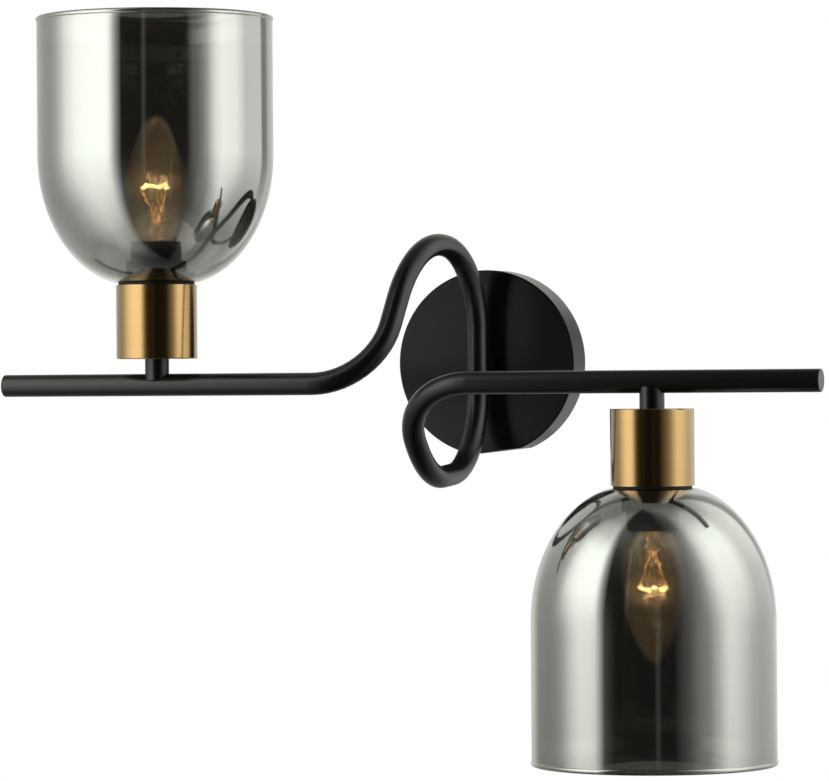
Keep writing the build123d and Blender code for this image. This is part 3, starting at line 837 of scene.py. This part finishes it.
# Corners of the filament across the bulb: share of the leads' spread, towards the room, and height.
FILAMENT_CORNERS = (
    (-1.0, -1.5 * MM, 0.0), (-0.55, 2.5 * MM, 2.2 * MM), (0.0, 3.2 * MM, 0.4 * MM),
    (0.55, 2.5 * MM, 2.2 * MM), (1.0, -1.5 * MM, 0.0),
)
FILAMENT_RISE = 0.6 * MM
COIL_STEPS = 10
COIL_SIDES = 6


def filament_path(settings, where):
    """Middle line of the filament: a shallow M between the leads' tips, in the lamp's own frame."""
    height = levels("bulb_filament", where)[0] + FILAMENT_RISE
    return [Vector((settings.lead_spread * x, y, height + z)) for x, y, z in FILAMENT_CORNERS]


def along_corners(corners, share):
    """A point at a share of the way along straight runs between corners."""
    lengths = [(b - a).length for a, b in zip(corners, corners[1:])]
    goal = share * sum(lengths)
    for length, a, b in zip(lengths, corners, corners[1:]):
        if goal <= length:
            return a.lerp(b, goal / length), (b - a).normalized()
        goal -= length
    return corners[-1], (corners[-1] - corners[-2]).normalized()


def filament_coil(settings, where, material):
    """The filament's wire, wound round its middle line."""
    corners = filament_path(settings, where)
    matrix = lamp_matrix(where)
    points = []
    steps = settings.coil_turns * COIL_STEPS
    for step in range(steps + 1):
        share = step / steps
        centre, along = along_corners(corners, share)
        side = along.cross(Vector((0, 0, 1))).normalized()
        other = along.cross(side)
        angle = math.tau * settings.coil_turns * share
        around = side * math.cos(angle) + other * math.sin(angle)
        points.append(matrix @ (centre + around * settings.coil_radius))
    verts, faces = wire_tube(points, settings.wire, COIL_SIDES)
    return make_piece(
        "tungsten_coil_" + where, verts, faces, material, "bulb_" + where,
        ["bulb_filament_" + where],
    )


# Lead wires: spacing in the glass, depth in it, height of the bend over it, how far they reach past the
# filament, how much wider they stand at the bend, and their radii.
WIRE_SPACING = 0.9 * MM
WIRE_DEPTH = 3 * MM
WIRE_BEND = 1.5 * MM
WIRE_HOOK = 0.3 * MM
BEND_SPREAD = 1.2
LEAD_R, HOOK_R = 0.28 * MM, 0.12 * MM


def lead_wires(settings, where, material):
    """Two leads and three fine hooks that hold the filament up."""
    matrix = lamp_matrix(where)
    head = levels("bulb_mount", where)[1]
    corners = filament_path(settings, where)
    last = len(corners) - 1
    parts = []
    for index, tip in enumerate(corners):
        foot_x = (index - last / 2) * WIRE_SPACING
        foot = Vector((foot_x, 0, head - WIRE_DEPTH))
        knee = Vector((foot_x * BEND_SPREAD, 0, head + WIRE_BEND))
        hook = tip + Vector((0, 0, WIRE_HOOK))
        route = [matrix @ point for point in (foot, knee, knee.lerp(tip, 0.5), hook)]
        parts.append(wire_tube(route, LEAD_R if index in (0, last) else HOOK_R))
    verts, faces = joined(parts)
    return make_piece(
        "lead_wires_" + where, verts, faces, material, "bulb_" + where, ["bulb_support_" + where]
    )


class WALLLIGHT_OT_bulbs(Operator):
    """Lit candle bulbs with screw caps, glass stems, leads and coiled filaments"""

    bl_idname = "wall_light.bulbs"
    bl_label = "Bulbs"

    def execute(self, context):
        settings = context.scene.wall_light
        clear = bulb_glass_material()
        stem = stem_glass()
        nickel = nickel_plate()
        wire = lead_wire()
        tungsten = hot_tungsten(settings.bulb)
        for where in SIDES:
            bulb_envelope(where, clear)
            screw_cap(settings.thread, where, nickel)
            glass_mount(where, stem)
            filament_coil(settings.bulb, where, tungsten)
            lead_wires(settings.bulb, where, wire)
        finish_nodes(both("bulb_insulator"), vitrite())
        finish_nodes(both("bulb_contact"), nickel)
        return {"FINISHED"}


# ---- Studio ----
def grey_ramp(tree, stops, reach, source):
    """Brightness along a value between -reach and reach, read between (value, brightness) stops."""
    spread = add_node(
        tree, "ShaderNodeMapRange", inputs={"From Min": -reach, "From Max": reach},
        links={"Value": source.outputs[0]},
    )
    ramp = add_node(tree, "ShaderNodeValToRGB", links={"Fac": spread.outputs[0]})
    steps = ramp.color_ramp.elements
    while len(steps) < len(stops):
        steps.new(1.0)
    for step, (value, brightness) in zip(steps, stops):
        step.position = (value + reach) / (2 * reach)
        step.color = (brightness, brightness, brightness, 1)
    return ramp


def lit_cloth(settings):
    """White cloth of the tent, lit from outside by two softboxes, with a black card in front."""
    material = bpy.data.materials.new("lit_tent_cloth")
    material.use_nodes = True
    tree = material.node_tree
    tree.nodes.clear()
    place = add_node(tree, "ShaderNodeTexCoord")
    axes = add_node(tree, "ShaderNodeSeparateXYZ", links={"Vector": place.outputs["Object"]})
    turn = add_node(
        tree, "ShaderNodeMath", settings={"operation": "ARCTAN2"},
        links={0: axes.outputs["Y"], 1: axes.outputs["X"]},
    )
    slope = add_node(
        tree, "ShaderNodeMath", settings={"operation": "DIVIDE"}, inputs={1: settings.tent_radius},
        links={0: axes.outputs["Z"]},
    )
    rise = add_node(tree, "ShaderNodeMath", settings={"operation": "ARCSINE"}, links={0: slope.outputs[0]})
    power = settings.tent_power
    low, high, card = (
        grey_ramp(tree, [(math.radians(at), light / full) for at, light in stops], math.pi, turn)
        for stops, full in ((TENT_LOW, power), (TENT_HIGH, power), (TENT_CARD, 1))
    )
    blend, share, room = (
        grey_ramp(tree, [(math.radians(at), light) for at, light in stops], math.pi / 2, rise)
        for stops in (TENT_BLEND, TENT_RISE, TENT_ROOM)
    )
    around = add_node(
        tree, "ShaderNodeMix", settings={"data_type": "FLOAT"},
        links={0: blend.outputs[0], 2: low.outputs[0], 3: high.outputs[0]},
    )
    scaled = add_node(
        tree, "ShaderNodeMath", settings={"operation": "MULTIPLY"}, inputs={1: power},
        links={0: around.outputs[0]},
    )
    boxes = add_node(
        tree, "ShaderNodeMath", settings={"operation": "MULTIPLY"},
        links={0: scaled.outputs[0], 1: share.outputs[0]},
    )
    dim = add_node(
        tree, "ShaderNodeMath", settings={"operation": "MULTIPLY"},
        links={0: room.outputs[0], 1: card.outputs[0]},
    )
    light = add_node(
        tree, "ShaderNodeMath", settings={"operation": "MAXIMUM"},
        links={0: boxes.outputs[0], 1: dim.outputs[0]},
    )
    glow = add_node(
        tree, "ShaderNodeEmission", inputs={"Color": linear("#F9FEF5")}, links={"Strength": light.outputs[0]}
    )
    add_node(tree, "ShaderNodeOutputMaterial", links={"Surface": glow.outputs[0]})
    return material


def studio_piece(name, verts, faces, material, middle):
    """A piece of the studio, turned so that its own X axis points out from the wall."""
    mesh = bpy.data.meshes.new(name)
    mesh.from_pydata(verts, [], faces)
    mesh.shade_smooth()
    mesh.materials.append(material)
    piece = bpy.data.objects.new(name, mesh)
    piece.location = middle
    piece.rotation_euler.z = math.radians(-90)
    bpy.context.scene.collection.objects.link(piece)
    return piece


STUDIO_SEGMENTS = 96
TENT_ROWS = 58
FLOOR_RADIUS = 4.0
SENSOR_WIDTH = 36.0
NEAREST, FARTHEST = 0.05, 60


def light_tent(settings, middle):
    """Round tent about the light, which the camera looks through."""
    radius = settings.tent_radius
    rows = arc(0, 0, radius, radius, -87, 87, TENT_ROWS)
    verts, faces = rings([(0, -radius)] + rows + [(0, radius)], STUDIO_SEGMENTS, Matrix.Identity(4), False)
    tent = studio_piece("light_tent", verts, faces[:-2], lit_cloth(settings), middle)
    tent.visible_camera = False
    tent.visible_shadow = False


def studio_camera(settings):
    """Camera at the photograph's angle, built from its own right, up and back directions."""
    azimuth, elevation = settings.camera_azimuth, settings.camera_elevation
    level = math.cos(elevation)
    back = Vector((math.sin(azimuth) * level, -math.cos(azimuth) * level, math.sin(elevation)))
    right = Vector((math.cos(azimuth), math.sin(azimuth), 0))
    up = back.cross(right)
    roll = settings.camera_roll
    tipped_right = math.cos(roll) * right + math.sin(roll) * up
    tipped_up = math.cos(roll) * up - math.sin(roll) * right
    data = bpy.data.cameras.new("studio_camera")
    data.sensor_width = SENSOR_WIDTH
    data.lens = settings.focal_pixels * SENSOR_WIDTH / PHOTO_WIDTH
    data.clip_start, data.clip_end = NEAREST, FARTHEST
    camera = bpy.data.objects.new("studio_camera", data)
    turn = Matrix((tipped_right, tipped_up, back)).transposed().to_4x4()
    place = Vector(settings.camera_aim) + back * settings.camera_distance
    camera.matrix_world = Matrix.Translation(place) @ turn
    bpy.context.scene.collection.objects.link(camera)
    bpy.context.scene.camera = camera


def white_surround(settings):
    """White behind the light, as the camera sees it, and a softer light on the floor."""
    world = bpy.data.worlds.new("white_surround")
    bpy.context.scene.world = world
    world.use_nodes = True
    tree = world.node_tree
    background = tree.nodes["Background"]
    background.inputs["Color"].default_value = linear("#FFFFFF")
    path = add_node(tree, "ShaderNodeLightPath")
    bright = add_node(
        tree, "ShaderNodeMapRange", inputs={"To Min": settings.surround, "To Max": 1.0},
        links={"Value": path.outputs["Is Camera Ray"]},
    )
    tree.links.new(bright.outputs[0], background.inputs["Strength"])


class WALLLIGHT_OT_stage(Operator):
    """Pale floor, light tent with two softboxes, white surround and the camera"""

    bl_idname = "wall_light.stage"
    bl_label = "Studio"

    def execute(self, context):
        settings = context.scene.wall_light.studio
        middle = (CAD_BOX[0] + CAD_BOX[1]) / 2
        paint = floor_paint()
        level = -settings.floor_drop
        verts, faces = rings([(FLOOR_RADIUS, level), (0, level)], STUDIO_SEGMENTS, Matrix.Identity(4), False)
        studio_piece("pale_floor", verts, faces[:-2], paint, (0, 0, 0))
        light_tent(settings, middle)
        white_surround(settings)
        studio_camera(settings)
        context.scene.view_settings.view_transform = "Standard"
        return {"FINISHED"}


class WALLLIGHT_PT_sidebar(Panel):
    """Lists the pieces and their settings"""

    bl_idname = "WALLLIGHT_PT_sidebar"
    bl_label = "Wall light"
    bl_space_type = "VIEW_3D"
    bl_region_type = "UI"
    bl_category = "Wall light"

    def draw(self, context):
        for operator in OPERATORS:
            self.layout.operator(operator.bl_idname)
        settings = context.scene.wall_light
        for group in (settings.glass, settings.bulb, settings.thread, settings.studio):
            box = self.layout.box()
            for name in group.bl_rna.properties.keys():
                if name not in ("rna_type", "name"):
                    box.prop(group, name)


OPERATORS = (
    WALLLIGHT_OT_metalwork,
    WALLLIGHT_OT_fixings,
    WALLLIGHT_OT_holders,
    WALLLIGHT_OT_shades,
    WALLLIGHT_OT_bulbs,
    WALLLIGHT_OT_stage,
)
CLASSES = (GlassSettings, BulbSettings, ThreadSettings, StudioSettings, WallLightSettings) + OPERATORS
CLASSES += (WALLLIGHT_PT_sidebar,)


def register():
    for cls in CLASSES:
        bpy.utils.register_class(cls)
    bpy.types.Scene.wall_light = PointerProperty(type=WallLightSettings)


def unregister():
    del bpy.types.Scene.wall_light
    for cls in reversed(CLASSES):
        bpy.utils.unregister_class(cls)


def main():
    register()
    bpy.ops.wall_light.metalwork()
    bpy.ops.wall_light.fixings()
    bpy.ops.wall_light.holders()
    bpy.ops.wall_light.shades()
    bpy.ops.wall_light.bulbs()
    bpy.ops.wall_light.stage()


if __name__ == "__main__":
    main()
